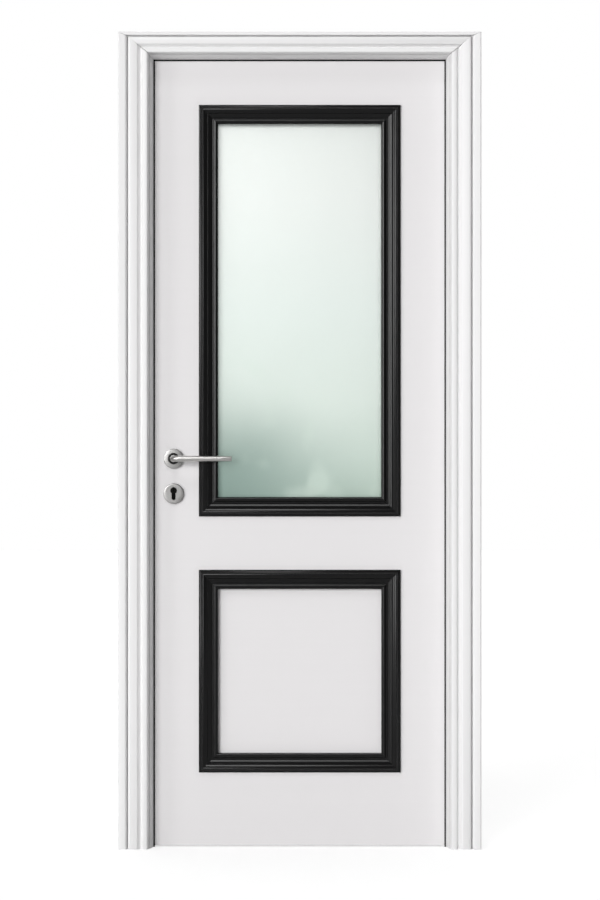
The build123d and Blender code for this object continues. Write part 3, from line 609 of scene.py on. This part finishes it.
def sealSet():
    low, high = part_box("frame_seal")
    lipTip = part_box("stop_hinge_side")[0].x - seal["reach"] * mm
    width = (high.x - lipTip) / mm
    lip, nose = seal["lip"], seal["nose"]
    stemEnd = lip + seal["stemDepth"]
    line = sectionLine(
        (nose, 0),
        [
            (width, 0), (width, lip), (seal["stemTo"], lip), (seal["stemTo"], stemEnd),
            (seal["stemFrom"], stemEnd), (seal["stemFrom"], lip), (nose, lip), ((0, lip / 2), (nose, 0)),
        ],
    )
    outline = softened(line[:-1], seal["arris"])
    topInner = high.z - (high.x - lipTip)
    shells = []
    for across in (right, left):
        start = Vector((lipTip * across.x, high.y, 0))
        shells.append(barShell(outline, start, up, across, frontward, topInner / mm, 0.0, 1.0, seal["endEase"]))
    start = Vector((-lipTip, high.y, topInner))
    shells.append(barShell(outline, start, right, up, frontward, 2 * lipTip / mm, -1.0, 1.0, seal["endEase"]))
    newPiece("frameSeal", *joined(shells), "frame", "sealBlack", "seal_rubber", ["frame_seal"])


stopSet()
sealSet()
print("stops and seal made")

# Handles
lever = {
    "segments": 72, "clearance": 0.3,
    "neckRadius": 9.0, "neckHeight": 14.0, "neckEase": 0.5, "easeMiddle": 0.3, "collar": 0.15,
    "collarHeight": 0.1,
    "gripRadius": 8.0, "gripShares": (0.25, 0.5, 0.75), "tipRadius": 7.1, "projection": 52.0,
    "bend": 13.0, "bendSteps": 14,
    "tipX": 156.0, "tipEase": 1.6, "tipSteps": 4,
}
rose = {
    "segments": 96, "rim": 1.6, "rimSteps": 6, "foot": 0.3, "edge": 0.4,
    "neckPlay": 0.3, "recessRadius": 13.5, "recessDepth": 2.0,
}
bush = {
    "segments": 72, "inner": 9.2, "outer": 13.3, "flange": 15.2, "lift": 0.1, "flangeLift": 0.05,
    "flangeHeight": 0.35, "arris": 0.12,
}
# A cylinder's hole: a round over a slot with a round foot
keyHole = {
    "segments": 120, "round": 8.8, "halfSlot": 5.3, "footDrop": 19.5, "middleDrop": 4.0, "barrelRadius": 8.5,
    "searchFrom": 40.0, "searchSteps": 400, "faceShares": (0.55, 0.2),
}
spindle = (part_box("lever_spindle")[0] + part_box("lever_spindle")[1]) / 2


def circleRing(centre, normal, sideways, radius, count):
    other = normal.cross(sideways)
    angles = [2 * math.pi * i / count for i in range(count)]
    return [centre + (sideways * math.cos(a) + other * math.sin(a)) * radius for a in angles]


def lathe(profile, centre, outward, count):
    # profile is a closed outline of (radius, height over centre) in millimetres
    rings = []
    for index in range(count):
        angle = 2 * math.pi * index / count
        spoke = right * math.cos(angle) + up * math.sin(angle)
        rings += [centre + (spoke * r + outward * h) * mm for r, h in profile]
    return rings, ringFaces(count, len(profile), closedRun=True)


def leverPiece(name, side, node):
    # A neck, a bend and a grip that tapers to a rounded tip
    outward = frontward if side < 0 else rearward
    base = Vector((spindle.x, side * abs(leafFace), spindle.z))
    neck, ease, grip = lever["neckRadius"], lever["neckEase"], lever["gripRadius"]
    bend, reach, tipX = lever["bend"], lever["projection"], lever["tipX"]
    bottom = lever["clearance"]
    top = bottom + lever["neckHeight"]
    middle = ease * lever["easeMiddle"]

    def taper(x):
        return grip + (lever["tipRadius"] - grip) * (x - bend) / (tipX - bend)

    neckLine = (
        (bottom, neck - ease), (bottom + ease, neck), (top - ease, neck), (top - middle, neck - middle),
        (top, grip + lever["collar"]), (top + lever["collarHeight"], grip),
    )
    spots = [(outward * height, outward, radius) for height, radius in neckLine]  # centre, direction, radius
    for cosine, sine in quarterTurn(lever["bendSteps"]):
        centre = outward * (reach - bend + bend * sine) + right * (bend - bend * cosine)
        spots.append((centre, outward * cosine + right * sine, grip))
    for share in lever["gripShares"]:
        x = bend + (tipX - bend) * share
        spots.append((outward * reach + right * x, right, taper(x)))
    for cosine, sine in quarterTurn(lever["tipSteps"]):
        x = tipX - lever["tipEase"] * (1 - sine)
        spots.append((outward * reach + right * x, right, taper(tipX) - lever["tipEase"] * (1 - cosine)))
    vertices = []
    for centre, direction, radius in spots:
        vertices += circleRing(base + centre * mm, direction, up, radius * mm, lever["segments"])
    faces = ringFaces(len(spots), lever["segments"])
    newPiece(name, vertices, faces, "lever", "satinSteel", "satin_steel", [node], sharp=40)


def rosePiece(name, side, node):
    outward = frontward if side < 0 else rearward
    low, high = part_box(node)
    radius = (high.x - low.x) / mm / 2
    thick = (high.y - low.y) / mm
    rim, foot, edge, recess = rose["rim"], rose["foot"], rose["edge"], rose["recessRadius"]
    hole = lever["neckRadius"] + rose["neckPlay"]
    floor = thick - rose["recessDepth"]
    profile = [(hole, 0), (radius - foot, 0), (radius, foot)]
    for cosine, sine in quarterTurn(rose["rimSteps"]):
        profile.append((radius - rim + rim * cosine, thick - rim + rim * sine))
    profile += [(recess + edge, thick), (recess, thick - edge), (recess, floor), (hole, floor)]
    centre = Vector((spindle.x, side * abs(leafFace), spindle.z))
    shell = lathe(profile, centre, outward, rose["segments"])
    newPiece(name, *shell, "leaf", "roseSteel", "satin_steel", [node], sharp=35)

    # A black nylon bearing ring, its flange wide over the rose: the nylon's own black and painted shade of the recess
    # round the neck
    low, flangeLow, top = floor + bush["lift"], thick + bush["flangeLift"], thick + bush["flangeHeight"]
    outline = softened(
        [
            (bush["inner"], low), (bush["outer"], low), (bush["outer"], flangeLow), (bush["flange"], flangeLow),
            (bush["flange"], top), (bush["inner"], top),
        ],
        bush["arris"],
    )
    shell = lathe(outline, centre, outward, bush["segments"])
    newPiece(name + "Bush", *shell, "leaf", "bushNylon", "seal_rubber", sharp=35)


def insideKeyHole(x, z):
    # Millimetres from the centre of the round
    foot = -keyHole["footDrop"]
    inSlot = abs(x) <= keyHole["halfSlot"] and foot <= z <= 0
    return inSlot or math.hypot(x, z) <= keyHole["round"] or math.hypot(x, z - foot) <= keyHole["halfSlot"]


def keyRosePiece(name, side, node):
    # The disc is drawn as loops from the hole to the rim and back, all seen from a point inside the hole
    outward = frontward if side < 0 else rearward
    low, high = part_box(node)
    radius = (high.x - low.x) / mm / 2
    thick = (high.y - low.y) / mm
    count, drop = keyHole["segments"], keyHole["middleDrop"]
    angles = [2 * math.pi * index / count for index in range(count)]
    spokes = [Vector((math.cos(angle), math.sin(angle))) for angle in angles]
    steps = keyHole["searchSteps"]
    reaches = [keyHole["searchFrom"] * (1 - step / steps) for step in range(steps)]
    hole = []
    for spoke in spokes:
        # the farthest reach that is still inside the hole, in tenths of a millimetre
        hole.append(spoke * next(r for r in reaches if insideKeyHole(spoke.x * r, spoke.y * r - drop)))
    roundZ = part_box("lock_barrel")[1].z - keyHole["barrelRadius"] * mm
    centre = Vector((spindle.x, side * abs(leafFace), roundZ - drop * mm))
    disc = (low + high) / 2
    offset = Vector((disc.x - centre.x, disc.z - centre.z)) / mm

    def loop(share, height, inset=0.0, grow=0.0):
        points = []
        for spot, spoke in zip(hole, spokes):
            inner = spot * (1 + grow / max(spot.length, 1))
            flat = inner.lerp(offset + spoke * (radius - inset), share)
            points.append(centre + (right * flat.x + up * flat.y + outward * height) * mm)
        return points

    rim, foot, edge = rose["rim"], rose["foot"], rose["edge"]
    rings = [loop(0, 0), loop(1, 0, foot), loop(1, foot)]
    for cosine, sine in quarterTurn(rose["rimSteps"]):
        rings.append(loop(1, thick - rim + rim * sine, rim - rim * cosine))
    rings += [loop(share, thick) for share in keyHole["faceShares"]]
    rings += [loop(0, thick, 0, edge), loop(0, thick - edge)]
    vertices = [point for ring in rings for point in ring]
    faces = ringFaces(len(rings), count, closedRun=True)
    newPiece(name, vertices, faces, "leaf", "roseSteel", "satin_steel", [node], sharp=35)


for side, word in ((-1, "front"), (1, "rear")):
    leverPiece(word + "Lever", side, word + "_lever")
    rosePiece(word + "Rose", side, word + "_rose")
    keyRosePiece(word + "KeyRose", side, word + "_key_rose")
print("handles made")

# Hinge pins and screws
screw = {
    "segments": 64, "head": 4.0, "depth": 2.4, "shank": 2.0, "length": 26.0, "point": 2.0, "pointRadius": 0.4,
    "edge": 0.3, "edgeDepth": 0.25, "armLength": 2.3, "armHalf": 0.55, "recess": 1.3, "recessFloor": 1.2,
    "recessEdge": 0.1, "turn": 0.6,
}
pin = {
    "segments": 48, "radius": 3.45, "headRadius": 5.2, "headHeight": 4.0, "dome": 2.6, "domeShare": 0.98,
    "domeStart": 0.02, "domeSteps": 6, "arris": 0.2,
}


def islands(node):
    # The separate solids of a node, as (low, high) corners
    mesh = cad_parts[node].data
    shell = bmesh.new()
    shell.from_mesh(mesh)
    bmesh.ops.remove_doubles(shell, verts=shell.verts, dist=1e-5)
    seen = set()
    boxes = []
    for vert in shell.verts:
        if vert in seen:
            continue
        group, queue = [], [vert]
        seen.add(vert)
        while queue:
            here = queue.pop()
            group.append(here.co.copy())
            for edge in here.link_edges:
                there = edge.other_vert(here)
                if there not in seen:
                    seen.add(there)
                    queue.append(there)
        low = Vector([min(p[i] for p in group) for i in range(3)])
        high = Vector([max(p[i] for p in group) for i in range(3)])
        boxes.append((low, high))
    shell.free()
    return boxes


def crossReach(angle):
    # How far a cross recess reaches from its centre in that direction
    quarter = math.pi / 2
    local = (angle + quarter / 2) % quarter - quarter / 2
    return min(screw["armLength"] / math.cos(local), screw["armHalf"] / max(abs(math.sin(local)), 1e-6))


def screwShell(centre, outward, turn):
    # Countersunk head with a cross recess, centre on the head's flat face
    count, head, length = screw["segments"], screw["head"], screw["length"]
    other = outward.cross(up)
    angles = [2 * math.pi * index / count for index in range(count)]

    def ring(radius, height, cross=False):
        points = []
        for angle in angles:
            reach = min(radius, crossReach(angle + turn)) if cross else radius
            points.append(centre + ((up * math.cos(angle) + other * math.sin(angle)) * reach + outward * height) * mm)
        return points

    rings = [
        ring(screw["recessFloor"], -screw["recess"], True), ring(head, -screw["recessEdge"], True),
        ring(head, 0.0, True), ring(head - screw["edge"], 0.0), ring(head, -screw["edgeDepth"]),
        ring(screw["shank"], -screw["depth"]),
        ring(screw["shank"], -length + screw["point"]), ring(screw["pointRadius"], -length),
    ]
    return [point for r in rings for point in r], ringFaces(len(rings), count)


def screwSet(name, node, body, headsFaceMiddle):
    # The heads are flush with their plates, towards the leaf's middle in the frame and away from it in the leaf
    shells = []
    for index, (low, high) in enumerate(sorted(islands(node), key=lambda box: (round(box[0].z, 4), box[0].x))):
        middle = (low + high) / 2
        outward = right if (middle.x < 0) == headsFaceMiddle else left
        faceX = high.x if outward is right else low.x
        shells.append(screwShell(Vector((faceX, middle.y, middle.z)), outward, screw["turn"] * index))
    newPiece(name, *joined(shells), body, "hingeSteel", "satin_steel", [node], sharp=30)


def pinSet():
    # A pin with a domed head at each end
    shells = []
    headRadius, headHeight, arris = pin["headRadius"], pin["headHeight"], pin["arris"]
    for low, high in islands("hinge_pins"):
        middle = (low + high) / 2
        half = (high.z - low.z) / mm / 2
        profile = [
            (headRadius * sine * pin["domeShare"] + pin["domeStart"], -half + pin["dome"] * (1 - cosine))
            for cosine, sine in quarterTurn(pin["domeSteps"])
        ]
        profile += [
            (headRadius, -half + headHeight - arris), (headRadius - arris, -half + headHeight),
            (pin["radius"], -half + headHeight),
        ]
        profile += [(r, -h) for r, h in reversed(profile)]
        vertices = []
        for r, h in profile:
            centre = Vector((middle.x, middle.y, middle.z + h * mm))
            vertices += circleRing(centre, up, right, r * mm, pin["segments"])
        shells.append((vertices, ringFaces(len(profile), pin["segments"])))
    newPiece("hingePins", *joined(shells), "frame", "hingeSteel", "satin_steel", ["hinge_pins"], sharp=35)


screwSet("frameScrews", "frame_screws", "frame", True)
screwSet("leafScrews", "leaf_screws", "leaf", False)
pinSet()
print("hinge pins and screws made")

# Finishes of the nodes that no piece replaces
nodeFinish = {
    "leafWhite": [
        "front_skin", "rear_skin", "lock_stile", "hinge_stile", "bottom_rail", "middle_rail", "top_rail",
        "lower_panel",
    ],
    "frameWhite": ["lining_lock_side", "lining_hinge_side", "lining_head"],
    "frostedPane": ["glass_pane"],
    "sealBlack": ["glazing_seals"],
    "roseSteel": ["lock_faceplate", "strike_plate"],
    "zincSteel": ["lock_case", "lever_spindle", "lever_follower", "latch_bolt", "dead_bolt"],
    "barrelShadeNickel": ["lock_barrel"],
    "plugShadeNickel": ["lock_plug"],
    "hingeSteel": [
        place + part for place in ("bottom", "middle", "top") for part in ("_hinge_frame_half", "_hinge_leaf_half")
    ],
}
# A node that a piece replaces is hidden, and gets a plain finish
nodeFinish["frameWhite"] += [name for name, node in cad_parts.items() if node.hide_render]
for finish, names in nodeFinish.items():
    for name in names:
        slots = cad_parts[name].data.materials
        slots.clear()
        slots.append(materials[finish])
print("CAD nodes finished")

# Floor, light and camera, in metres
studio = {
    "floorColor": 0.6, "floorGlow": 0.6, "floor": ((-14, -9, 0), (14, -9, 0), (14, 22, 0), (-14, 22, 0)),
    "mirroredFrom": -0.6, "mirroredTo": 0.4, "mirroredFront": 0.05,
    "frontSky": 0.17, "backSky": 1.0, "skyFrom": -0.35, "skyTo": 0.6,
    "suns": [
        ("broadSun", (-0.38, -0.91, 0.17), 25, 1.88),
        ("sideSun", (-0.80, -0.59, 0.10), 16, 0.42),
        ("topSun", (-0.08, -0.60, 0.80), 16, 0.42),
    ],
    "sunDistance": 8,
    "eye": (0.0009, -7.522, 1.055), "lens": 112.8, "clipEnd": 200,
}


def seenDirectly(tree, path):
    # By the camera, also through the pane
    return calc(tree, "MAXIMUM", path["Is Camera Ray"], path["Is Transmission Ray"])


def studioFloor():
    material = bpy.data.materials.new("studioFloor")
    material.use_nodes = True
    tree = material.node_tree
    shade = studio["floorColor"]
    bsdf = setInputs(tree.nodes["Principled BSDF"], {
        "Base Color": (shade, shade, shade, 1), "Emission Color": (1, 1, 1, 1),
        "Roughness": 0.9, "Specular IOR Level": 0.0,
    })
    path = addNode(tree, "ShaderNodeLightPath").outputs
    axes = axesOf(tree, addNode(tree, "ShaderNodeTexCoord").outputs["Object"])
    # metal mirrors the white floor behind the door, and a dim room in front of it
    behind = spread(
        tree, axes["Y"], studio["mirroredFrom"], studio["mirroredTo"], studio["mirroredFront"], 1.0, smooth=True
    )
    mirrored = calc(tree, "MULTIPLY", path["Is Glossy Ray"], behind)
    glow = calc(tree, "MULTIPLY", calc(tree, "MAXIMUM", seenDirectly(tree, path), mirrored), studio["floorGlow"])
    plug(tree, bsdf.inputs["Emission Strength"], glow)
    mesh = bpy.data.meshes.new("studioFloor")
    mesh.from_pydata(studio["floor"], [], [(0, 1, 2, 3)])
    mesh.materials.append(material)
    floor = bpy.data.objects.new("studioFloor", mesh)
    bpy.context.scene.collection.objects.link(floor)


def studioSky():
    # White behind the door, dim in front of it, as in a room with lamps
    world = bpy.data.worlds.new("studioSky")
    bpy.context.scene.world = world
    world.use_nodes = True
    tree = world.node_tree
    axes = axesOf(tree, addNode(tree, "ShaderNodeTexCoord").outputs["Generated"])
    level = spread(
        tree, axes["Y"], studio["skyFrom"], studio["skyTo"], studio["frontSky"], studio["backSky"], smooth=True
    )
    path = addNode(tree, "ShaderNodeLightPath").outputs
    background = setInputs(tree.nodes["Background"], {"Color": (1, 1, 1, 1)})
    plug(tree, background.inputs["Strength"], calc(tree, "MAXIMUM", level, seenDirectly(tree, path)))


def farLamp(name, source, angle, power):
    # A far lamp lights the whole height of the door evenly
    lamp = bpy.data.lights.new(name, "SUN")
    lamp.energy = power
    lamp.angle = math.radians(angle)
    sun = bpy.data.objects.new(name, lamp)
    bpy.context.scene.collection.objects.link(sun)
    sun.location = Vector(source) * studio["sunDistance"]
    sun.rotation_mode = "QUATERNION"
    sun.rotation_quaternion = (-Vector(source)).to_track_quat("-Z", "Y")


studioFloor()
studioSky()
for sun in studio["suns"]:
    farLamp(*sun)
lens = bpy.data.cameras.new("camera")
lens.lens = studio["lens"]
lens.clip_end = studio["clipEnd"]
eye = bpy.data.objects.new("camera", lens)
bpy.context.scene.collection.objects.link(eye)
eye.location = studio["eye"]
eye.rotation_euler = (math.pi / 2, 0, 0)
bpy.context.scene.camera = eye
bpy.context.scene.view_settings.view_transform = "Standard"
print("stage set")
